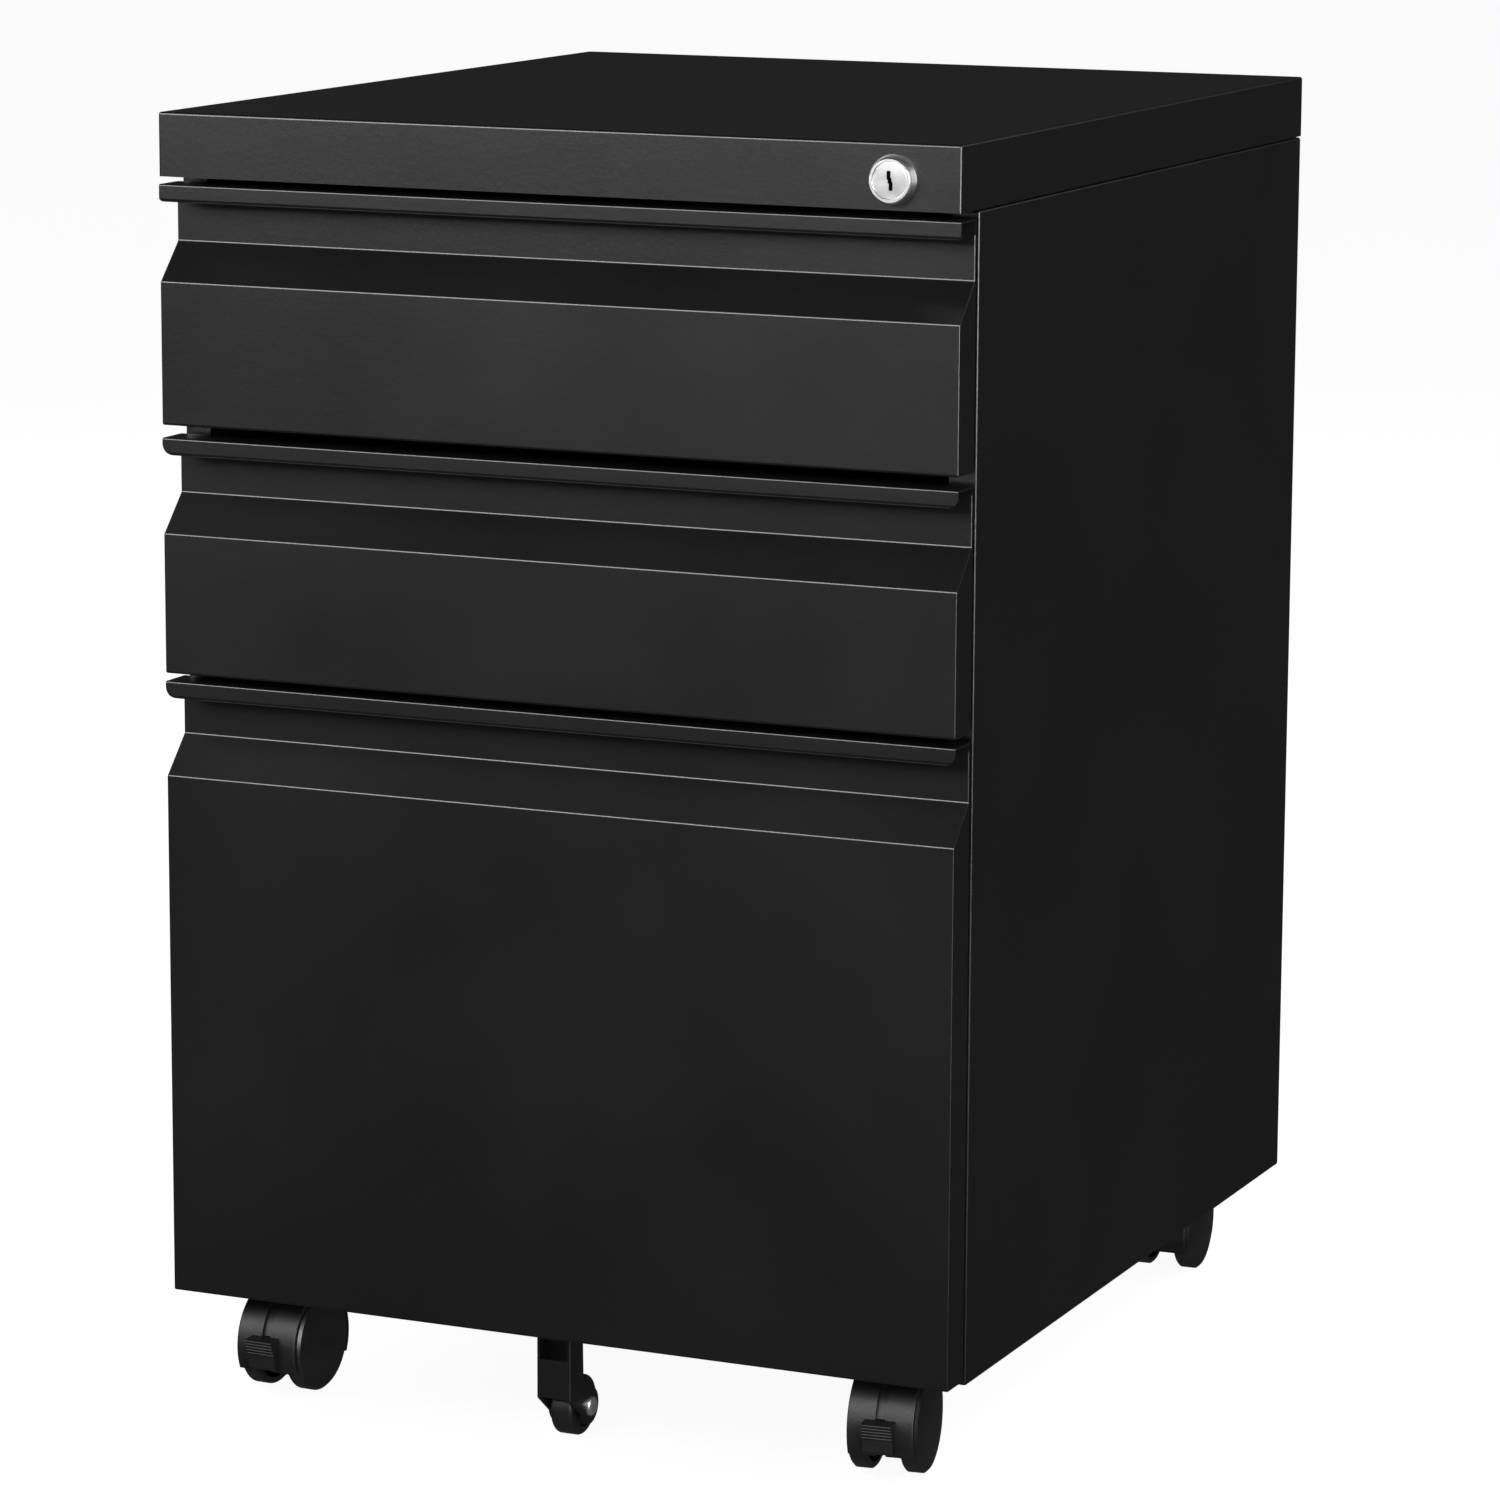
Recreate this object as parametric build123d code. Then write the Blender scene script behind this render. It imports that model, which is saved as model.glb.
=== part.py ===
from build123d import *
import math
import os

# Mobile steel pedestal cabinet with two box drawers and a file drawer.
# Millimetres. X is to the right as seen from the front, Y runs from front to back, Z is up.
# The origin is on the floor, under the middle of the whole cabinet.

# ---------------------------------------------------------------- driving dimensions
WIDTH = 390.0
DEPTH = 450.0
HEIGHT = 600.0
LOCK_NOSE = 4.5  # how far the lock stands out in front of the drawers
SHEET = 1.0  # body and drawer sheet steel
BEND = 1.2  # outer radius of a fold
FLANGE = 8.0  # turned-in edge of the body panels

HALF = WIDTH / 2
FRONT = (LOCK_NOSE - DEPTH) / 2  # plane of the drawer faces
BACK = FRONT + DEPTH
BODY_FRONT = FRONT + 21.6  # front edge of the body sides, behind the drawer fronts
BODY_BACK = BACK - 2.0  # the cover overhangs the back a little
BODY_BOTTOM = 48.0
COVER_BOTTOM = 571.0
SEAM = 0.6  # gap between the body sides and the cover
INSIDE = HALF - SHEET - 0.6  # half width of the panels that fit between the sides

FRONT_FLANGE = 13.0
LINER_BACK = FRONT + 18.5  # back of a drawer front, liner included
BUMPER_GAP = 0.2

# Drawer fronts: a gripping lip, a recess behind it and a slope that leads to the flat face.
RECESS = 16.5
RECESS_DROP = 26.8
SLOPE_DROP = 44.1
LIP_HEIGHT = 8.0
LIP_RETURN = 4.0
LIP_FOLD = 0.8  # outer radius at the top of the lip
LIP_CURL = 1.7  # outer radius where the lip curls under
END_BEND = 0.7  # radius where the face meets the ends of a drawer front
DRAWERS = {
    "drawer_1": {"bottom": 458.0, "top": 567.5, "floor": 466.0, "rim": 548.0, "slide": 500.0,
                 "slide_height": 35.0, "latch": 538.0, "lip_corner": 2.0},
    "drawer_2": {"bottom": 343.5, "top": 452.2, "floor": 352.0, "rim": 434.0, "slide": 386.0,
                 "slide_height": 35.0, "latch": 424.0, "lip_corner": 5.5},
    "drawer_3": {"bottom": 50.9, "top": 339.9, "floor": 72.0, "rim": 318.0, "slide": 200.0,
                 "slide_height": 45.0, "latch": 300.0, "lip_corner": 5.5},
}

# Slides: three nested channels between each drawer and the uprights.
UPRIGHT_FACE = 182.0  # inner face of the uprights, where the slides are screwed on
SLIDE_WIDTH = 12.7
TRAY_HALF = UPRIGHT_FACE - SLIDE_WIDTH
SLIDE_SHEET = 1.2
SLIDE_START = FRONT + 50.0
SLIDE_LENGTH = 350.0
TRAY_BACK = FRONT + 415.0
UPRIGHT_STARTS = (FRONT + 60.0, FRONT + 340.0)
UPRIGHT_WIDTH = 30.0

# Screws of the back panel.
SCREW_X = HALF - FLANGE / 2 - 0.5
SCREW_HEIGHTS = [90.0 + step * 115.0 for step in range(5)]
SCREW_HEAD = 2.8
SCREW_SHANK = 1.4

# Bottom panel and casters.
BOTTOM = 58.0
BOTTOM_SHEET = 1.2
STEM_X = 152.0
STEM_FRONT = FRONT + 57.0
STEM_BACK = FRONT + 391.0
STEM_RADIUS = 5.0
CASTERS = {
    "front_left": {"x": -STEM_X, "y": STEM_FRONT, "yaw": -2.0, "brake": True},
    "front_right": {"x": STEM_X, "y": STEM_FRONT, "yaw": 7.0, "brake": True},
    "rear_left": {"x": -STEM_X, "y": STEM_BACK, "yaw": 176.0, "brake": False},
    "rear_right": {"x": STEM_X, "y": STEM_BACK, "yaw": 183.0, "brake": False},
}
WHEEL_RADIUS = 23.0
TRAIL = 19.0  # from the swivel axis to the axle
WHEEL_INNER = 8.0
WHEEL_OUTER = 16.4
WHEEL_CROWN = 18.0
WHEEL_AXLE = 3.0
HOOD_RADIUS = 26.0
HOOD_HALF = 15.5
HOOD_BOTTOM = 12.5
HOOD_TOP = 50.5
WEB_HALF = 7.0
PEDAL_HALF = 6.9
PEDAL_GAP = 0.5
ARM_HALF = 2.0
RUNNING = 0.05  # radial clearance of a shaft in its bore

STEM_COLLAR = 10.5  # across the corners of the hexagon
NUT_PLATE = 26.0  # half width of the square plates over the casters
NUT_PLATE_SHEET = 2.0

# Anti-tilt wheel under the file drawer.
FIFTH_RADIUS = 14.0
FIFTH_Y = FRONT + 25.0
FIFTH_HALF = 5.5
FORK_HALF = 8.6
FORK_SHEET = 1.5
FORK_FRONT = FRONT + 4.0
FORK_DEPTH = 13.0
FORK_LOW = 22.0
FORK_WEB_TOP = 40.0
FORK_LOBE = 8.6
FIFTH_AXLE = 2.5

# Lock.
LOCK_X = 163.5
LOCK_Z = 584.0
BARREL = 9.0
PLUG = 8.15
CRANK = 9.0
CRANK_PIN = 2.0
CRANK_REST = 45.0  # degrees above level, with the drawers free
BAR_STROKE = 2 * CRANK * math.sin(math.radians(CRANK_REST))
BAR_X = (183.5, 185.5)
BAR_Y = (FRONT + 28.0, FRONT + 44.0)
TAB_Y = (FRONT + 28.0, FRONT + 29.5)
LATCH_Y = FRONT + 34.0
LATCH_RADIUS = 3.0
STUD_LENGTH = 8.0

TURN = {"X": Rot(0, 90, 0), "Y": Rot(90, 0, 0), "Z": Rot(0, 0, 0)}


# ---------------------------------------------------------------- helpers
def block(x, y, z):
    """A box between two limits on each axis."""
    size = [limits[1] - limits[0] for limits in (x, y, z)]
    middle = [(limits[0] + limits[1]) / 2 for limits in (x, y, z)]
    return Pos(*middle) * Box(*size)


def rod(axis, radius, middle, length):
    """A cylinder along X, Y or Z, given by its middle."""
    return Pos(*middle) * TURN[axis] * Cylinder(radius, length)


def folded_pan(x, y, z, open_side, sheet=SHEET, bend=BEND):
    """Sheet folded into a shallow tray, open on one side such as '+Z' or '-X'."""
    limits = [list(x), list(y), list(z)]
    axis = "XYZ".index(open_side[1])
    end = 1 if open_side[0] == "+" else 0
    outward = 1 if end else -1
    rim = limits[axis][end]
    outer = block(*limits)
    folds = [edge for edge in outer.edges() if abs(tuple(edge.center())[axis] - rim) > 1e-6]
    outer = fillet(folds, bend)
    for side in limits:
        side[0] += sheet
        side[1] -= sheet
    limits[axis][end] = rim + outward
    inner = block(*limits)
    rim += outward
    folds = [edge for edge in inner.edges() if abs(tuple(edge.center())[axis] - rim) > 1e-6]
    return outer - fillet(folds, bend - sheet)


def side_profile(points):
    """A closed outline in the YZ plane."""
    return make_face(Polyline(*[(0, y, z) for y, z in points], close=True))


def widen(face, low, high):
    """Extrude a YZ outline along X between two limits."""
    return Pos(low, 0, 0) * extrude(face, amount=high - low, dir=(1, 0, 0))


def mirrored(piece):
    return mirror(piece, about=Plane.YZ)


def save(name, pieces):
    """Write one node: one piece, or several separate identical ones."""
    solids = [solid for piece in pieces for solid in piece.solids()]
    whole = solids[0] if len(solids) == 1 else Compound(solids)
    export_step(whole, os.path.join("parts", name + ".step"))


# ---------------------------------------------------------------- body
def side_panel():
    """The right side: one sheet with turned-in edges; the front one is wider."""
    panel = folded_pan(
        (HALF - FRONT_FLANGE, HALF),
        (BODY_FRONT, BODY_BACK),
        (BODY_BOTTOM, COVER_BOTTOM - SEAM),
        "-X",
    )
    narrow = block(
        (HALF - FRONT_FLANGE - 1, HALF - FLANGE),
        (BODY_FRONT + SHEET + 0.5, BODY_BACK + 1),
        (BODY_BOTTOM - 1, COVER_BOTTOM),
    )
    return panel - narrow


def back_panel():
    return block(
        (-INSIDE, INSIDE), (BODY_BACK - 2 * SHEET, BODY_BACK - SHEET), (BOTTOM + 2, COVER_BOTTOM - 3)
    )


def back_screws():
    """Pan-head screws that hold the back panel to the side flanges."""
    screws = []
    recess = (BODY_BACK + 1, BODY_BACK + 3)
    for middle in (-SCREW_X, SCREW_X):
        for height in SCREW_HEIGHTS:
            head = rod("Y", SCREW_HEAD, (middle, BODY_BACK + 0.9, height), 1.8)
            head = fillet(head.edges().group_by(Axis.Y)[-1], 1.0)
            shank = rod("Y", SCREW_SHANK, (middle, BODY_BACK - 4, height), 8)
            cross = block((middle - 1.6, middle + 1.6), recess, (height - 0.3, height + 0.3))
            cross += block((middle - 0.3, middle + 0.3), recess, (height - 1.6, height + 1.6))
            screws.append(head + shank - cross)
    return screws


def drill_back(panel):
    """Clear the screw holes through a side flange or the back panel."""
    for middle in (-SCREW_X, SCREW_X):
        for height in SCREW_HEIGHTS:
            panel -= rod("Y", SCREW_SHANK + 0.05, (middle, BODY_BACK - 4, height), 12)
    return panel


def bottom_panel():
    pan = block(
        (-INSIDE, INSIDE),
        (BODY_FRONT + SHEET + 0.2, BODY_BACK - 2 * SHEET - 0.2),
        (BOTTOM, BOTTOM + BOTTOM_SHEET),
    )
    front_edge = block(
        (-HALF + FRONT_FLANGE + 2, HALF - FRONT_FLANGE - 2),
        (BODY_FRONT + SHEET + 0.2, BODY_FRONT + SHEET + 1.4),
        (BOTTOM, BOTTOM + 11.0),
    )
    pan += front_edge
    for caster in CASTERS.values():
        pan -= rod("Z", STEM_RADIUS + 0.2, (caster["x"], caster["y"], BOTTOM), 10)
    return pan


def top_cover():
    """The cover: a deep lid whose lower edges are folded in, with the lock hole in front."""
    lid = block((-HALF, HALF), (FRONT, BACK), (COVER_BOTTOM, HEIGHT))
    rear = [edge for edge in lid.edges().filter_by(Axis.Z) if edge.center().Y > 0]
    lid = fillet(rear, 2 * BEND)
    rest = [edge for edge in lid.edges() if edge.center().Z > COVER_BOTTOM + 1]
    rest = [edge for edge in rest if edge.center().Z > HEIGHT - 1 or edge.center().Y < 0]
    lid = fillet(rest, BEND)
    hollow = block(
        (-HALF + SHEET, HALF - SHEET),
        (FRONT + SHEET, BACK - SHEET),
        (COVER_BOTTOM + SHEET, HEIGHT - SHEET),
    )
    hollow = fillet(hollow.edges().filter_by(Axis.Z).group_by(Axis.Y)[-1], 2 * BEND - SHEET)
    mouth = block(
        (-HALF + FLANGE, HALF - FLANGE),
        (FRONT + FLANGE, BACK - FLANGE - 4),
        (COVER_BOTTOM - 1, COVER_BOTTOM + 2),
    )
    lock_hole = rod("Y", BARREL + 0.1, (LOCK_X, FRONT, LOCK_Z), 10)
    return lid - hollow - mouth - lock_hole


def upright(start):
    """A hat section welded inside the right side."""
    deep = (HALF - SHEET) - UPRIGHT_FACE
    hat = block(
        (UPRIGHT_FACE, UPRIGHT_FACE + deep),
        (start, start + UPRIGHT_WIDTH),
        (BOTTOM + BOTTOM_SHEET + 0.5, COVER_BOTTOM - 4),
    )
    hollow = block(
        (UPRIGHT_FACE + SLIDE_SHEET, HALF),
        (start + SLIDE_SHEET, start + UPRIGHT_WIDTH - SLIDE_SHEET),
        (0, HEIGHT),
    )
    return hat - hollow


def front_rail():
    """A channel that ties the front uprights together above the top drawer."""
    start = UPRIGHT_STARTS[0]
    return folded_pan(
        (-UPRIGHT_FACE, UPRIGHT_FACE),
        (start, start + UPRIGHT_WIDTH),
        (COVER_BOTTOM - 17, COVER_BOTTOM - 4),
        "-Z",
    )


def bumpers():
    """Rubber pads on the front flanges, where the drawer fronts come to rest."""
    pads = []
    start = LINER_BACK + BUMPER_GAP
    for drawer in DRAWERS.values():
        for height in (drawer["bottom"] + 9, drawer["top"] - 9):
            for side in (-1, 1):
                middle = (side * (HALF - 6.5), (start + BODY_FRONT) / 2, height)
                pads.append(rod("Y", 4.0, middle, BODY_FRONT - start))
    return pads


# ---------------------------------------------------------------- lock
def lock_housing():
    """Barrel and bezel. The bezel narrows towards its flat rim."""
    nose = FRONT - LOCK_NOSE
    profile = [
        (0, nose), (9.3, nose), (9.9, nose + 0.6), (10.6, nose + 2.6), (11.0, FRONT),
        (BARREL, FRONT), (BARREL, FRONT + 22), (0, FRONT + 22),
    ]
    face = make_face(Polyline(*[(r, y, 0) for r, y in profile], close=True))
    barrel = Pos(LOCK_X, 0, LOCK_Z) * revolve(face, Axis.Y)
    bore = rod("Y", PLUG + RUNNING, (LOCK_X, FRONT, LOCK_Z), 80)
    return barrel - bore


def lock_nut():
    hexagon = Plane.XZ * RegularPolygon(13.0, 6)
    nut = Pos(LOCK_X, FRONT + SHEET, LOCK_Z) * extrude(hexagon, amount=-3.5)
    return nut - rod("Y", BARREL + 0.02, (LOCK_X, FRONT, LOCK_Z), 40)


def lock_plug():
    """The turning plug, with an upright keyway that has a small jog in it."""
    front = FRONT - LOCK_NOSE + 0.5
    back = FRONT + 24.0
    plug = rod("Y", PLUG, (LOCK_X, (front + back) / 2, LOCK_Z), back - front)
    plug = fillet(plug.edges().group_by(Axis.Y)[0], 0.4)
    depth = (front - 1, front + 6)
    for shift, low, high in ((-0.5, 0.4, 4.2), (0.5, -4.2, -0.4), (0.0, -1.2, 1.2)):
        middle = LOCK_X + shift
        plug -= block((middle - 0.9, middle + 0.9), depth, (LOCK_Z + low, LOCK_Z + high))
    return plug


def lock_cam():
    """A crank on the back of the plug. Its pin lifts and lowers the lock bar."""
    angle = math.radians(CRANK_REST)
    pin_x = LOCK_X + CRANK * math.cos(angle)
    pin_z = LOCK_Z + CRANK * math.sin(angle)
    start = FRONT + 24.0
    arm = rod("Y", 6.0, (LOCK_X, start + 1, LOCK_Z), 2) + rod("Y", 3.5, (pin_x, start + 1, pin_z), 2)
    link = Pos((LOCK_X + pin_x) / 2, start + 1, (LOCK_Z + pin_z) / 2)
    arm += link * Rot(0, -CRANK_REST, 0) * Box(CRANK, 2, 7)
    return arm + rod("Y", CRANK_PIN, (pin_x, start + 4, pin_z), 8)


def lock_bar():
    """A flat bar in the right front corner: a driven arm on top, and a tab for each drawer."""
    angle = math.radians(CRANK_REST)
    pin_z = LOCK_Z + CRANK * math.sin(angle)
    bar = block(BAR_X, BAR_Y, (288.0, pin_z + 6))
    arm_start = LOCK_X + 1.5
    bar += block((arm_start, BAR_X[1]), TAB_Y, (pin_z - 6.4, pin_z + 6))
    slot_low = LOCK_X + CRANK * math.cos(angle) - CRANK_PIN - 0.6
    slot_high = LOCK_X + CRANK + CRANK_PIN + 0.6
    bar -= block((slot_low, slot_high), (TAB_Y[0] - 1, TAB_Y[1] + 1), (pin_z - 2.6, pin_z + 2.6))
    for drawer in DRAWERS.values():
        middle = drawer["latch"] + BAR_STROKE
        bar += block((TRAY_HALF + 2, BAR_X[1]), TAB_Y, (middle - 7, middle + 7))
    return bar


def bar_guides():
    """Nylon blocks that the lock bar slides in."""
    guides = []
    for height in (480.0, 362.0):
        guide = block(
            (UPRIGHT_FACE + 0.3, HALF - SHEET),
            (BAR_Y[0] - 3, BAR_Y[1] + 3),
            (height - 6, height + 6),
        )
        channel = block(
            (BAR_X[0] - 0.3, BAR_X[1] + 0.3),
            (BAR_Y[0] - 0.3, BAR_Y[1] + 0.3),
            (height - 7, height + 7),
        )
        guides.append(guide - channel)
    return guides


# ---------------------------------------------------------------- drawers
def drawer_front(drawer):
    """One folded sheet: face, slope, recess and lip, closed at both ends."""
    low = drawer["bottom"]
    top = drawer["top"]
    crease = top - SLOPE_DROP
    valley = top - RECESS_DROP
    back = FRONT + RECESS + SHEET
    outline = side_profile([
        (FRONT, low), (FRONT, crease), (FRONT + RECESS, valley),
        (FRONT + RECESS, top), (back, top), (back, low),
    ])
    corners = [(FRONT, low), (FRONT, crease), (FRONT + RECESS, valley)]
    bends = [
        vertex for vertex in outline.vertices()
        if any(math.dist((vertex.Y, vertex.Z), corner) < 0.01 for corner in corners)
    ]
    body = widen(fillet(bends, BEND), -HALF, HALF)
    ends = [
        edge for edge in body.edges()
        if abs(abs(edge.center().X) - HALF) < 1e-6 and abs(edge.center().Y - FRONT) < 1e-6
    ]
    body = fillet(ends, END_BEND)
    rise = (valley - crease) / RECESS
    inside = SHEET * math.sqrt(1 + rise * rise)

    def under_slope(y):
        return crease + (y - FRONT) * rise - inside

    cavity = side_profile([
        (FRONT + SHEET, low + SHEET), (FRONT + SHEET, under_slope(FRONT + SHEET)),
        (back + 1, under_slope(back + 1)), (back + 1, low + SHEET),
    ])
    return body - widen(cavity, -HALF + SHEET, HALF - SHEET) + lip(drawer, back)


def lip(drawer, back):
    """The gripping edge: a flange that comes forward, turns down and curls under."""
    top = drawer["top"]
    under = top - LIP_HEIGHT
    shape = block((-HALF, HALF), (FRONT, back), (under, top))
    nose = shape.edges().filter_by(Axis.X).group_by(Axis.Y)[0]
    shape = fillet(nose.group_by(Axis.Z)[-1], LIP_FOLD)
    nose = shape.edges().filter_by(Axis.X).group_by(Axis.Z)[0].group_by(Axis.Y)[0]
    shape = fillet(nose, LIP_CURL)
    outline = Plane.XZ * Pos(0, top - LIP_HEIGHT / 2 + 10) * Rectangle(WIDTH, LIP_HEIGHT + 20)
    lower = outline.vertices().group_by(Axis.Z)[0]
    shape &= Pos(0, FRONT - 5, 0) * extrude(fillet(lower, drawer["lip_corner"]), amount=-40)
    hollow = block(
        (-HALF - 1, HALF + 1), (FRONT + SHEET, FRONT + RECESS), (under + SHEET, top - SHEET)
    )
    curl = hollow.edges().filter_by(Axis.X).group_by(Axis.Y)[0].group_by(Axis.Z)[0]
    hollow = fillet(curl, LIP_CURL - SHEET)
    mouth = block(
        (-HALF - 1, HALF + 1), (FRONT + LIP_RETURN, FRONT + RECESS), (under - 1, under + 3)
    )
    return shape - hollow - mouth


def drawer_liner(drawer):
    """Flat plate that closes the back of the folded front."""
    return block(
        (-HALF + 2, HALF - 2),
        (FRONT + RECESS + SHEET, LINER_BACK),
        (drawer["bottom"] + 1.5, drawer["top"] - 1.5),
    )


def drawer_tray(drawer):
    """The drawer's box, open at the top."""
    return folded_pan(
        (-TRAY_HALF, TRAY_HALF),
        (LINER_BACK, TRAY_BACK),
        (drawer["floor"], drawer["rim"]),
        "+Z",
    )


def lock_stud(drawer):
    """Stud on the right of the tray: the lock bar's tab comes down in front of it."""
    stud = rod("X", LATCH_RADIUS, (TRAY_HALF + STUD_LENGTH / 2, LATCH_Y, drawer["latch"]), STUD_LENGTH)
    return chamfer(stud.edges().group_by(Axis.X)[-1], 0.5)


def channel(side_x, rim_x, half_height, start, length):
    """A slide member: a C channel whose back is at side_x and whose edges reach rim_x."""
    facing = 1 if rim_x > side_x else -1
    low, high = sorted((side_x, rim_x))
    whole = block((low, high), (start, start + length), (-half_height, half_height))
    inner = sorted((side_x + facing * SLIDE_SHEET, rim_x + facing))
    hollow = block(
        inner,
        (start - 1, start + length + 1),
        (-half_height + SLIDE_SHEET, half_height - SLIDE_SHEET),
    )
    return whole - hollow


def slide_members(drawer):
    """Outer, middle and inner members of the right-hand slide, nested at rest."""
    half = drawer["slide_height"] / 2
    at = Pos(0, 0, drawer["slide"])
    outer = at * channel(UPRIGHT_FACE, UPRIGHT_FACE - 9.5, half, SLIDE_START, SLIDE_LENGTH)
    middle = at * channel(UPRIGHT_FACE - 3.2, UPRIGHT_FACE - 10.3, half - 3.4, SLIDE_START, SLIDE_LENGTH)
    inner = at * channel(TRAY_HALF, TRAY_HALF + 7.1, half - 7.0, SLIDE_START, SLIDE_LENGTH)
    return outer, middle, inner


def file_rails(drawer):
    """Hooked rails on the file drawer's sides, for hanging folders."""
    rails = []
    rim = drawer["rim"]
    for side in (-1, 1):
        near = TRAY_HALF - SHEET
        rail = block(
            (near - 2, near), (LINER_BACK + SHEET + 2, TRAY_BACK - SHEET - 2), (rim - 14, rim + 4)
        )
        hook = block(
            (near - 2, near + 2.2), (LINER_BACK + SHEET + 2, TRAY_BACK - SHEET - 2), (rim, rim + 4)
        )
        rail = rail + hook
        rails.append(rail if side > 0 else mirrored(rail))
    return rails


# ---------------------------------------------------------------- anti-tilt wheel
def fork():
    """Bracket of the anti-tilt wheel: two cheeks, a front web, a rear plate and a top flange."""
    top = DRAWERS["drawer_3"]["bottom"]
    back = FORK_FRONT + FORK_DEPTH
    across = (-FORK_HALF, FORK_HALF)
    outline = side_profile([
        (FORK_FRONT, FORK_LOW), (FORK_FRONT, top), (back, top), (back + 0.8, 28.0),
        (FIFTH_Y + 5.4, 20.7), (FIFTH_Y, FIFTH_RADIUS - FORK_LOBE),
    ])
    bracket = block(across, (FORK_FRONT, FORK_FRONT + FORK_SHEET), (FORK_LOW, FORK_WEB_TOP))
    bracket += block(across, (back - FORK_SHEET, back), (FORK_WEB_TOP - 4, top))
    bracket += block(across, (FORK_FRONT, back), (top - FORK_SHEET, top))
    for side in (-1, 1):
        near, far = sorted((side * FORK_HALF, side * (FORK_HALF - FORK_SHEET)))
        bracket += widen(outline, near, far)
        bracket += rod("X", FORK_LOBE, ((near + far) / 2, FIFTH_Y, FIFTH_RADIUS), FORK_SHEET)
    corners = [
        edge for edge in bracket.edges().filter_by(Axis.Z)
        if abs(edge.center().Y - FORK_FRONT) < 1e-6 and abs(abs(edge.center().X) - FORK_HALF) < 1e-6
        and edge.center().Z < FORK_WEB_TOP
    ]
    if corners:
        bracket = fillet(corners, 1.0)
    return bracket - rod("X", FIFTH_AXLE + 0.02, (0, FIFTH_Y, FIFTH_RADIUS), 40)


def fifth_axle():
    """A rivet with a domed head on both cheeks."""
    axle = rod("X", FIFTH_AXLE, (0, FIFTH_Y, FIFTH_RADIUS), 2 * FORK_HALF)
    for side in (-1, 1):
        head = rod("X", 4.5, (side * (FORK_HALF + 0.9), FIFTH_Y, FIFTH_RADIUS), 1.8)
        outer = head.edges().group_by(Axis.X)[-1 if side > 0 else 0]
        axle += fillet(outer, 1.2)
    return axle


def fifth_wheel():
    wheel = rod("X", FIFTH_RADIUS, (0, FIFTH_Y, FIFTH_RADIUS), 2 * FIFTH_HALF)
    wheel = fillet(wheel.edges(), 1.8)
    for side in (-1, 1):
        groove = rod("X", 10.0, (side * FIFTH_HALF, FIFTH_Y, FIFTH_RADIUS), 2.4)
        groove -= rod("X", 4.6, (side * FIFTH_HALF, FIFTH_Y, FIFTH_RADIUS), 2.4)
        wheel -= groove
    return wheel - rod("X", FIFTH_AXLE + RUNNING, (0, FIFTH_Y, FIFTH_RADIUS), 40)


# ---------------------------------------------------------------- casters
# Each caster is drawn about its own swivel axis, wheels towards the front, then turned.
def caster_place(caster):
    return Pos(caster["x"], caster["y"], 0) * Rot(0, 0, caster["yaw"])


def caster_hood(caster):
    """Plastic body: a web that holds stem and axle, and a cover over both treads."""
    hood = rod("X", HOOD_RADIUS, (0, -TRAIL, WHEEL_RADIUS), 2 * HOOD_HALF)
    hood = fillet(hood.edges(), 0.8)
    hood += rod("Z", 10.5, (0, 0, (34 + HOOD_TOP) / 2), HOOD_TOP - 34)
    for side in (-1, 1):
        middle = side * (WEB_HALF + 10)
        hood -= rod("X", WHEEL_RADIUS + 1.3, (middle, -TRAIL, WHEEL_RADIUS), 20)
    hood -= block((-30, 30), (-60, 30), (-10, HOOD_BOTTOM))
    hood -= rod("X", WHEEL_AXLE + 0.02, (0, -TRAIL, WHEEL_RADIUS), 60)
    hood -= rod("Z", STEM_RADIUS + RUNNING, (0, 0, 45), 32)
    if caster["brake"]:
        hood -= pedal_slot()
    return caster_place(caster) * hood


def hood_sector(low, high, inner, width):
    """A slice of a ring about the axle, in front of the hood, between two angles above level."""
    reach = HOOD_RADIUS + 6
    angles = [math.radians(low + (high - low) * step / 4) for step in range(5)]
    corners = [(-reach * math.cos(angle), reach * math.sin(angle)) for angle in angles]
    if inner:
        corners += [(-inner * math.cos(angle), inner * math.sin(angle)) for angle in reversed(angles)]
    else:
        corners.append((0, 0))
    outline = side_profile([(y - TRAIL, z + WHEEL_RADIUS) for y, z in corners])
    return widen(outline, -width / 2, width / 2)


def pedal_slot():
    """Room for the pedal's arm and hub in the web, and a shallow groove above the pedal."""
    width = 2 * ARM_HALF + 0.6
    room = rod("X", 6.6, (0, -TRAIL, WHEEL_RADIUS), width)
    room += hood_sector(-48, 16, 0, width)
    return room + hood_sector(14, 52, HOOD_RADIUS - 1.8, width)


def caster_axle(caster):
    return caster_place(caster) * rod("X", WHEEL_AXLE, (0, -TRAIL, WHEEL_RADIUS), 32)


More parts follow.
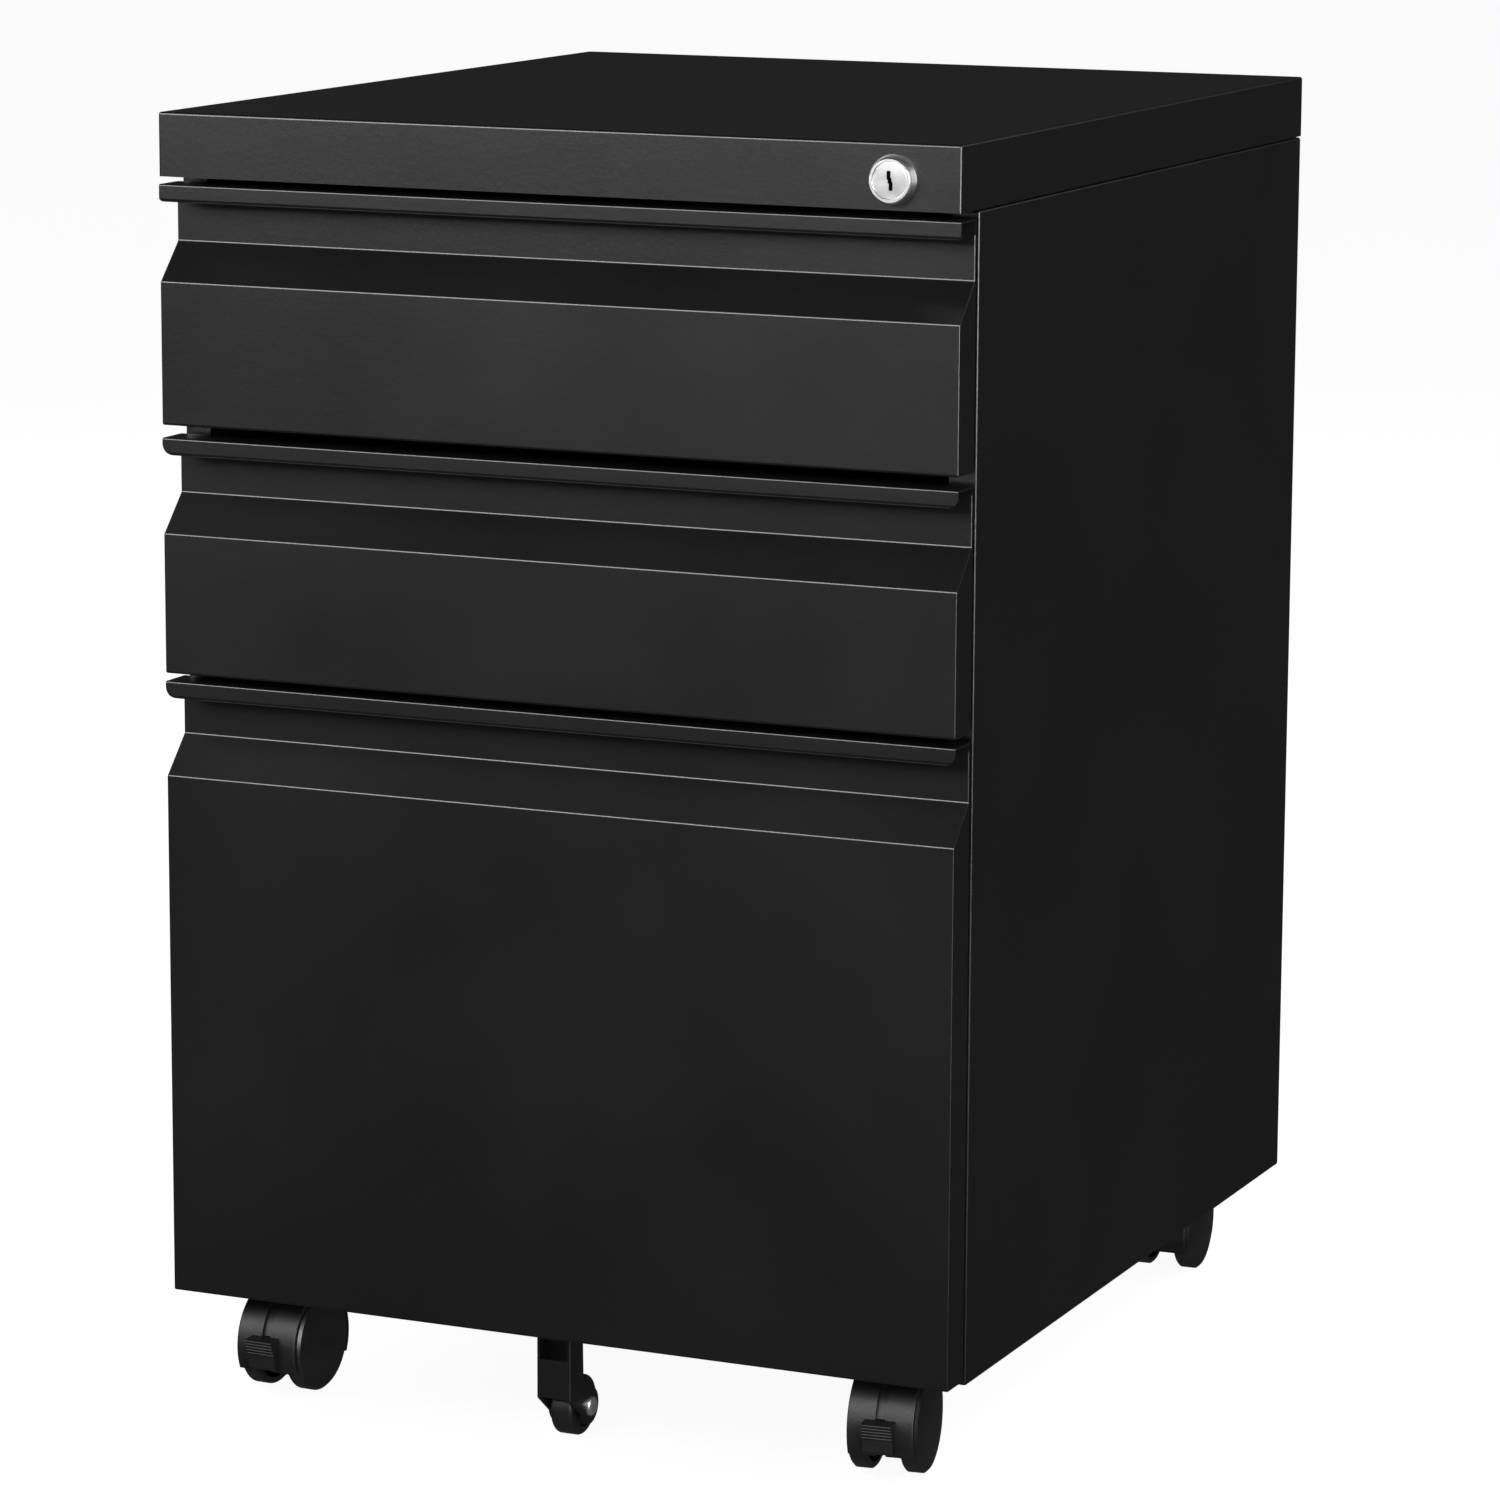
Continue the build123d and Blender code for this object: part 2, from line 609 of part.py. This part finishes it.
def caster_wheel(caster, side):
    """Half of a twin wheel: tread, hollow inner face and a crowned outer face."""
    rim = 21.8
    crown = WHEEL_CROWN - WHEEL_OUTER
    sphere = (rim * rim + crown * crown) / (2 * crown)
    half_way = rim / 2
    bulge = WHEEL_CROWN - (sphere - math.sqrt(sphere * sphere - half_way * half_way))
    bore = WHEEL_AXLE + RUNNING
    outline = Polyline(
        (WHEEL_CROWN, 0), (16.1, 0), (16.1, bore), (WHEEL_INNER, bore), (WHEEL_INNER, 7), (13, 7),
        (13, 20), (WHEEL_INNER, 20), (WHEEL_INNER, WHEEL_RADIUS - 0.8),
        (WHEEL_INNER + 0.8, WHEEL_RADIUS), (WHEEL_OUTER - 1.2, WHEEL_RADIUS), (WHEEL_OUTER, rim),
    )
    face_arc = ThreePointArc((WHEEL_OUTER, rim), (bulge, half_way), (WHEEL_CROWN, 0))
    wheel = revolve(make_face(outline + face_arc), Axis.X)
    wheel = Pos(0, -TRAIL, WHEEL_RADIUS) * wheel
    if side == "left":
        wheel = mirrored(wheel)
    return caster_place(caster) * wheel


def brake_pedal(caster):
    """Pedal on the hood's front. It turns on the axle, so it keeps its distance to the hood."""
    gap = HOOD_RADIUS + PEDAL_GAP

    def on_hood(degrees):
        angle = math.radians(degrees)
        return -gap * math.cos(angle), gap * math.sin(angle)

    crest = (-32.6, 6.6)
    waist = (-29.8, -1.2)
    toe = (-27.6, -8.6)
    inner = ThreePointArc(on_hood(-18), on_hood(-2), on_hood(15))
    outer = Polyline(on_hood(15), crest, waist, (-29.2, -7.0), toe, on_hood(-18))
    face = Plane.YZ * make_face(inner + outer)
    pad = Pos(-PEDAL_HALF, 0, 0) * extrude(face, amount=2 * PEDAL_HALF, dir=(1, 0, 0))
    ridges = 5
    for step in range(ridges):
        share = (step + 0.55) / ridges
        y = crest[0] + (waist[0] - crest[0]) * share
        z = crest[1] + (waist[1] - crest[1]) * share
        pad += rod("X", 0.5, (0, y, z), 2 * PEDAL_HALF)
    arm = block((-ARM_HALF, ARM_HALF), (-gap - 1.0, -4), (-3.0, 1.5))
    hub = rod("X", 6.0, (0, 0, 0), 2 * ARM_HALF)
    pedal = pad + arm + hub - rod("X", WHEEL_AXLE + RUNNING, (0, 0, 0), 20)
    return caster_place(caster) * Pos(0, -TRAIL, WHEEL_RADIUS) * pedal


def caster_stems():
    """Threaded stems that the hoods swivel on, with a hexagonal collar."""
    stems = []
    for caster in CASTERS.values():
        at = Pos(caster["x"], caster["y"], 0)
        stem = rod("Z", STEM_RADIUS, (0, 0, 50), 38)
        collar = Pos(0, 0, HOOD_TOP + 0.5) * extrude(RegularPolygon(STEM_COLLAR, 6), amount=7)
        stems.append(at * (stem + collar))
    return stems


def nut_plates():
    """Square plates with a welded nut, which hold the stems over the bottom panel."""
    bottom = BOTTOM + BOTTOM_SHEET
    top = bottom + NUT_PLATE_SHEET
    plates = []
    for caster in CASTERS.values():
        x, y = caster["x"], caster["y"]
        plate = block((x - NUT_PLATE, x + NUT_PLATE), (y - NUT_PLATE, y + NUT_PLATE), (bottom, top))
        plate += Pos(x, y, top) * extrude(RegularPolygon(9.2, 6), amount=6)
        plates.append(plate - rod("Z", STEM_RADIUS + 0.02, (x, y, top), 40))
    return plates


# ---------------------------------------------------------------- build
os.makedirs("parts", exist_ok=True)

right_side = side_panel()
save("right_side_panel", [drill_back(right_side)])
save("left_side_panel", [drill_back(mirrored(right_side))])
save("back_panel", [drill_back(back_panel())])
save("back_panel_screws", back_screws())
save("bottom_panel", [bottom_panel()])
save("top_cover", [top_cover()])
save("front_rail", [front_rail()])
uprights = [upright(start) for start in UPRIGHT_STARTS]
save("slide_uprights", uprights + [mirrored(piece) for piece in uprights])
save("drawer_bumpers", bumpers())

save("lock_housing", [lock_housing()])
save("lock_nut", [lock_nut()])
save("lock_plug", [lock_plug()])
save("lock_cam", [lock_cam()])
save("lock_bar", [lock_bar()])
save("lock_bar_guides", bar_guides())

for name, drawer in DRAWERS.items():
    save(name + "_front", [drawer_front(drawer)])
    save(name + "_liner", [drawer_liner(drawer)])
    save(name + "_tray", [drawer_tray(drawer)])
    save(name + "_lock_stud", [lock_stud(drawer)])
    for member, right in zip(("outer", "middle", "inner"), slide_members(drawer)):
        save(name + "_slides_" + member, [right, mirrored(right)])
save("file_rails", file_rails(DRAWERS["drawer_3"]))

save("anti_tilt_fork", [fork()])
save("anti_tilt_axle", [fifth_axle()])
save("anti_tilt_wheel", [fifth_wheel()])

save("caster_stems", caster_stems())
save("caster_nut_plates", nut_plates())
for name, caster in CASTERS.items():
    save(name + "_caster_hood", [caster_hood(caster)])
    save(name + "_caster_axle", [caster_axle(caster)])
    for side in ("left", "right"):
        save(name + "_caster_wheel_" + side, [caster_wheel(caster, side)])
    if caster["brake"]:
        save(name + "_brake_pedal", [brake_pedal(caster)])
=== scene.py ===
import math

import bpy
from mathutils import Matrix, Vector

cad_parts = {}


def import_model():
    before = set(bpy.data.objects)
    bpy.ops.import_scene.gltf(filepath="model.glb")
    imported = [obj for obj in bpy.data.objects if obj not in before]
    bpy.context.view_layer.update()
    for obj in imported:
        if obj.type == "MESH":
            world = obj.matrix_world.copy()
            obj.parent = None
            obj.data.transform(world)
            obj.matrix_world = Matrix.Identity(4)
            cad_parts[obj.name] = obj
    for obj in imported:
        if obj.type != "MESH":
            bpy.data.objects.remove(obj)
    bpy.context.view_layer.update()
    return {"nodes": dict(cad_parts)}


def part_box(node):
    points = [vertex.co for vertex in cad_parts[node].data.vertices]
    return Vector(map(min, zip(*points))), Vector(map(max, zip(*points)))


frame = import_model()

# The look of a black steel mobile cabinet whose shapes all come from the frame.
# Metres. X is to the right as seen from the front, Y runs from front to back, Z is up.
FOLD_ANGLE = 32  # degrees: edges sharper than this stay sharp
WELD_DISTANCE = 2e-6
FLOOR_HALF = 30.0
LIGHT_AIM = Vector((0, 0, 0.35))


# ---------------------------------------------------------------- node helpers
class Shader:
    """A material's node tree, with short calls that add a node and link its inputs."""

    def __init__(self, name):
        self.material = bpy.data.materials.new(name)
        self.material.use_nodes = True
        self.tree = self.material.node_tree
        self.tree.nodes.clear()
        self.output = self.add("ShaderNodeOutputMaterial")
        self.surface = self.add("ShaderNodeBsdfPrincipled")
        self.link(self.surface.outputs["BSDF"], self.output.inputs["Surface"])

    def add(self, kind, inputs=None, **settings):
        node = self.tree.nodes.new(kind)
        for key, value in settings.items():
            setattr(node, key, value)
        for key, value in (inputs or {}).items():
            self.feed(node.inputs[key], value)
        return node

    def link(self, output, socket):
        self.tree.links.new(output, socket)

    def feed(self, socket, value):
        if isinstance(value, bpy.types.NodeSocket):
            self.link(value, socket)
        else:
            socket.default_value = value

    def place(self, stretch=(1, 1, 1)):
        """Coordinates in metres, in the object's own frame, stretched to draw a texture out."""
        source = self.add("ShaderNodeTexCoord").outputs["Object"]
        return self.add("ShaderNodeMapping", {"Vector": source, "Scale": stretch}).outputs["Vector"]

    def noise(self, scale, detail=2.0, roughness=0.5, stretch=(1, 1, 1)):
        inputs = {
            "Vector": self.place(stretch), "Scale": scale, "Detail": detail, "Roughness": roughness,
        }
        return self.add("ShaderNodeTexNoise", inputs).outputs["Fac"]

    def span(self, value, low, high, from_low=0.3, from_high=0.7):
        """Map a texture's usual range to low..high."""
        inputs = {
            "Value": value, "From Min": from_low, "From Max": from_high, "To Min": low, "To Max": high,
        }
        return self.add("ShaderNodeMapRange", inputs).outputs["Result"]

    def math(self, operation, first, second):
        node = self.add("ShaderNodeMath", operation=operation)
        self.feed(node.inputs[0], first)
        self.feed(node.inputs[1], second)
        return node.outputs[0]

    def mix(self, share, first, second):
        node = self.add("ShaderNodeMix", data_type="RGBA")
        self.feed(node.inputs["Factor"], share)
        self.feed(node.inputs["A"], first)
        self.feed(node.inputs["B"], second)
        return node.outputs["Result"]

    def bump(self, height, strength, distance, under=None):
        inputs = {"Height": height, "Strength": strength, "Distance": distance}
        if under is not None:
            inputs["Normal"] = under
        return self.add("ShaderNodeBump", inputs).outputs["Normal"]

    def set(self, **values):
        for key, value in values.items():
            self.feed(self.surface.inputs[key.replace("_", " ")], value)


def grey(value, warm=0.0):
    """A grey, a little warmer or, below zero, a little cooler than neutral."""
    return (value * (1 + warm), value, value * (1 - warm), 1.0)


# ---------------------------------------------------------------- materials
def powder_coat():
    """Satin black powder coat: fine orange peel and grain, with slow changes of tone."""
    s = Shader("black_powder_coat")
    cloud = s.noise(9.0, 3.0)
    tone = s.mix(s.span(cloud, 0.0, 1.0), grey(0.0060), grey(0.0078))
    peel = s.noise(420.0, 2.0)
    grain = s.noise(2600.0, 2.0, 0.6)
    rough = s.math("ADD", s.span(cloud, 0.30, 0.33), s.span(grain, -0.02, 0.02))
    normal = s.bump(peel, 0.10, 0.0004)
    normal = s.bump(grain, 0.14, 0.00015, normal)
    s.set(Base_Color=tone, Roughness=rough, IOR=1.5, Normal=normal)
    return s.material


def zinc(name, along):
    """Galvanised steel with a faint spangle and rolling lines along one direction."""
    s = Shader(name)
    cells = s.add("ShaderNodeTexVoronoi", {"Vector": s.place(), "Scale": 260.0})
    streaks = s.noise(420.0, 3.0, 0.6, along)
    cloud = s.noise(30.0, 3.0)
    crystal = s.span(cells.outputs["Color"], 0.0, 1.0, 0.0, 1.0)
    spangle = s.mix(crystal, grey(0.42, -0.03), grey(0.58, -0.02))
    tone = s.mix(s.span(streaks, 0.0, 0.5), spangle, grey(0.30, 0.02))
    rough = s.math("ADD", s.span(cloud, 0.32, 0.44), s.span(streaks, -0.05, 0.07))
    s.set(Base_Color=tone, Metallic=0.75, Roughness=rough, Normal=s.bump(streaks, 0.12, 0.0001))
    return s.material


def keyway_shade_mask(s):
    """1 within the plug's radius and behind its face, which is in its keyway, and 0 elsewhere: the
    mask for the keyway's painted shade.
    """
    low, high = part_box("lock_plug")
    radius = (high[0] - low[0]) / 2 + 0.0001
    place = s.add("ShaderNodeSeparateXYZ", {"Vector": s.place()}).outputs
    across = s.math("SUBTRACT", place["X"], (low[0] + high[0]) / 2)
    above = s.math("SUBTRACT", place["Z"], (low[2] + high[2]) / 2)
    squares = s.math("ADD", s.math("POWER", across, 2.0), s.math("POWER", above, 2.0))
    inside = s.math("LESS_THAN", squares, radius ** 2)
    behind = s.math("GREATER_THAN", place["Y"], low[1] + 0.0002)
    return s.math("MULTIPLY", inside, behind)


def chrome():
    """Plated lock: bright, with hairline scratches and a little haze, and painted shade inside its
    keyway, where it is dark and not metallic.
    """
    s = Shader("lock_chrome")
    keyway = keyway_shade_mask(s)
    haze = s.noise(160.0, 3.0)
    hair = s.noise(900.0, 4.0, 0.7, (1, 1, 6))
    tone = s.mix(s.span(haze, 0.0, 1.0), grey(0.66, 0.01), grey(0.78, -0.01))
    rough = s.math("ADD", s.span(haze, 0.28, 0.33), s.span(hair, 0.0, 0.05, 0.55, 0.75))
    # painted shade: inside the keyway the chrome is coloured near black and made non-metallic,
    # standing in for the shade deep in the recess
    tone = s.mix(keyway, tone, grey(0.012))
    plated = s.math("SUBTRACT", 1.0, keyway)
    s.set(Base_Color=tone, Metallic=plated, Roughness=rough, Normal=s.bump(hair, 0.05, 0.00005))
    return s.material


def plastic(name, low, high, roughness, grain_scale, grain_depth, gloss):
    """Moulded plastic with a spark-eroded grain and slight flow marks."""
    s = Shader(name)
    flow = s.noise(45.0, 3.0, 0.5, (1, 1, 2.5))
    grain = s.noise(grain_scale, 2.0, 0.6)
    tone = s.mix(s.span(flow, 0.0, 1.0), grey(low), grey(high))
    patches = s.span(flow, roughness - 0.03, roughness + 0.03)
    rough = s.math("ADD", patches, s.span(grain, -0.04, 0.04))
    normal = s.bump(grain, 0.3, grain_depth, s.bump(flow, 0.05, 0.0005))
    s.set(Base_Color=tone, Roughness=rough, IOR=1.5, Specular_IOR_Level=gloss, Normal=normal)
    return s.material


def rubber():
    """Matt black rubber, a little dusty."""
    s = Shader("bumper_rubber")
    dust = s.noise(300.0, 4.0, 0.6)
    tone = s.mix(s.span(dust, 0.0, 1.0), grey(0.016), grey(0.034, 0.03))
    s.set(Base_Color=tone, Roughness=s.span(dust, 0.72, 0.86), Normal=s.bump(dust, 0.25, 0.0002))
    return s.material


def nylon():
    """Natural nylon, milky and slightly see-through."""
    s = Shader("nylon")
    flow = s.noise(120.0, 3.0)
    tone = s.mix(s.span(flow, 0.0, 1.0), grey(0.60, 0.05), grey(0.70, 0.04))
    s.set(Base_Color=tone, Roughness=s.span(flow, 0.38, 0.48), Normal=s.bump(flow, 0.1, 0.0002))
    s.set(Subsurface_Weight=0.25, Subsurface_Radius=(0.002, 0.0018, 0.0014), Subsurface_Scale=1.0)
    return s.material


# ---------------------------------------------------------------- shading of the carried-over nodes
def smooth_by_angle():
    """A modifier tree that smooths faces and keeps folds sharper than an angle."""
    tree = bpy.data.node_groups.new("smooth_folds", "GeometryNodeTree")
    tree.interface.new_socket("Geometry", in_out="INPUT", socket_type="NodeSocketGeometry")
    tree.interface.new_socket("Geometry", in_out="OUTPUT", socket_type="NodeSocketGeometry")
    start = tree.nodes.new("NodeGroupInput")
    end = tree.nodes.new("NodeGroupOutput")
    faces = tree.nodes.new("GeometryNodeSetShadeSmooth")
    edges = tree.nodes.new("GeometryNodeSetShadeSmooth")
    edges.domain = "EDGE"
    angle = tree.nodes.new("GeometryNodeInputMeshEdgeAngle")
    flat = tree.nodes.new("FunctionNodeCompare")
    flat.operation = "LESS_EQUAL"
    flat.inputs["B"].default_value = math.radians(FOLD_ANGLE)
    links = tree.links
    links.new(start.outputs[0], faces.inputs["Geometry"])
    links.new(faces.outputs[0], edges.inputs["Geometry"])
    links.new(angle.outputs["Unsigned Angle"], flat.inputs["A"])
    links.new(flat.outputs[0], edges.inputs["Shade Smooth"])
    links.new(edges.outputs[0], end.inputs[0])
    return tree


def shade(obj, tree):
    """Join the tessellated faces, smooth the fillets between them and leave flat sheet flat."""
    weld = obj.modifiers.new("weld", "WELD")
    weld.merge_threshold = WELD_DISTANCE
    folds = obj.modifiers.new("folds", "NODES")
    folds.node_group = tree
    weighted = obj.modifiers.new("weighted", "WEIGHTED_NORMAL")
    weighted.keep_sharp = True
    weighted.weight = 100


# ---------------------------------------------------------------- studio
def direction(azimuth, elevation):
    """A direction away from the cabinet. Azimuth 0 is straight in front, and 90 is to the right."""
    turn = math.radians(azimuth)
    rise = math.radians(elevation)
    level = math.cos(rise)
    return Vector((math.sin(turn) * level, -math.cos(turn) * level, math.sin(rise)))


def softbox(name, azimuth, elevation, distance, size, radiance, gloss_only=False):
    """A rectangular soft light that faces the cabinet, or only its reflections if gloss_only."""
    away = direction(azimuth, elevation)
    data = bpy.data.lights.new(name, "AREA")
    data.shape = "RECTANGLE"
    data.size, data.size_y = size
    data.energy = radiance * math.pi * size[0] * size[1]
    light = bpy.data.objects.new(name, data)
    bpy.context.scene.collection.objects.link(light)
    light.location = LIGHT_AIM + away * distance
    light.rotation_mode = "QUATERNION"
    light.rotation_quaternion = (-away).to_track_quat("-Z", "Y")
    light.visible_camera = False
    light.visible_diffuse = not gloss_only


def floor():
    """A wide, flat, pale floor that glows a little and isn't mirrored in the black coat."""
    data = bpy.data.meshes.new("floor")
    half = FLOOR_HALF
    corners = [(-half, -half, 0), (half, -half, 0), (half, half, 0), (-half, half, 0)]
    data.from_pydata(corners, [], [(0, 1, 2, 3)])
    plane = bpy.data.objects.new("floor", data)
    bpy.context.scene.collection.objects.link(plane)
    s = Shader("studio_floor")
    s.set(Base_Color=grey(0.60), Roughness=0.9, Specular_IOR_Level=0.0)
    s.set(Emission_Color=grey(1.0), Emission_Strength=0.94)
    data.materials.append(s.material)
    plane.visible_glossy = False


def world():
    """Pale behind the object, dim where it would only wash out the black coat."""
    sky = bpy.data.worlds.new("studio")
    bpy.context.scene.world = sky
    sky.use_nodes = True
    tree = sky.node_tree
    tree.nodes.clear()
    output = tree.nodes.new("ShaderNodeOutputWorld")
    mix = tree.nodes.new("ShaderNodeMixShader")
    dim = tree.nodes.new("ShaderNodeBackground")
    pale = tree.nodes.new("ShaderNodeBackground")
    path = tree.nodes.new("ShaderNodeLightPath")
    dim.inputs["Color"].default_value = (1, 1, 1, 1)
    dim.inputs["Strength"].default_value = 0.03
    pale.inputs["Color"].default_value = (1, 1, 1, 1)
    pale.inputs["Strength"].default_value = 1.0
    tree.links.new(path.outputs["Is Camera Ray"], mix.inputs["Fac"])
    tree.links.new(dim.outputs[0], mix.inputs[1])
    tree.links.new(pale.outputs[0], mix.inputs[2])
    tree.links.new(mix.outputs[0], output.inputs["Surface"])


def camera():
    """A long lens in front and to the right, a little above the cabinet and nearly level."""
    target = Vector((-0.00135, 0.00145, 0.2851))
    distance = 2.8116
    roll = math.radians(0.286)
    back = direction(23.92, 10.725)
    side = (-back).cross(Vector((0, 0, 1))).normalized()
    up = side.cross(-back)
    across = side * math.cos(roll) + up * math.sin(roll)
    above = up * math.cos(roll) - side * math.sin(roll)
    data = bpy.data.cameras.new("camera")
    data.sensor_width = 36.0
    data.lens = 140.2
    data.clip_start = 0.05
    data.clip_end = 100.0
    eye = bpy.data.objects.new("camera", data)
    bpy.context.scene.collection.objects.link(eye)
    turn = Matrix((across, above, back)).transposed().to_4x4()
    eye.matrix_world = Matrix.Translation(target + back * distance) @ turn
    bpy.context.scene.camera = eye


# ---------------------------------------------------------------- build the look
finishes = {
    "black_powder_coat": powder_coat(),
    "zinc_slides": zinc("zinc_slides", (1, 0.03, 1)),
    "zinc_steel": zinc("zinc_steel", (1, 1, 0.2)),
    "lock_chrome": chrome(),
    "nylon": nylon(),
    "bumper_rubber": rubber(),
    "wheel_plastic": plastic("wheel_plastic", 0.010, 0.016, 0.36, 1500.0, 0.00008, 0.42),
    "hood_plastic": plastic("hood_plastic", 0.007, 0.013, 0.50, 1100.0, 0.00022, 0.28),
}
folds = smooth_by_angle()
for node in frame["nodes"].values():
    for slot in node.material_slots:
        slot.material = finishes[slot.material.name.split(".")[0]]
    shade(node, folds)

floor()
world()
camera()
softbox("key_left", -30, 24, 2.6, (1.5, 0.95), 17.0, gloss_only=True)
softbox("key_right", 4, 24, 2.6, (1.3, 0.95), 12.0, gloss_only=True)
softbox("edge", 47, 12, 2.6, (0.9, 1.4), 30.0, gloss_only=True)
softbox("soft_front", -20, 40, 2.6, (1.8, 1.2), 1.0)
softbox("right_fill", 95, 20, 2.8, (1.6, 1.2), 0.5)
softbox("left_fill", -105, 22, 2.8, (1.6, 1.2), 2.0)
softbox("back_fill", 132, 36, 2.8, (1.8, 1.4), 2.0)

bpy.context.scene.view_settings.view_transform = "Standard"
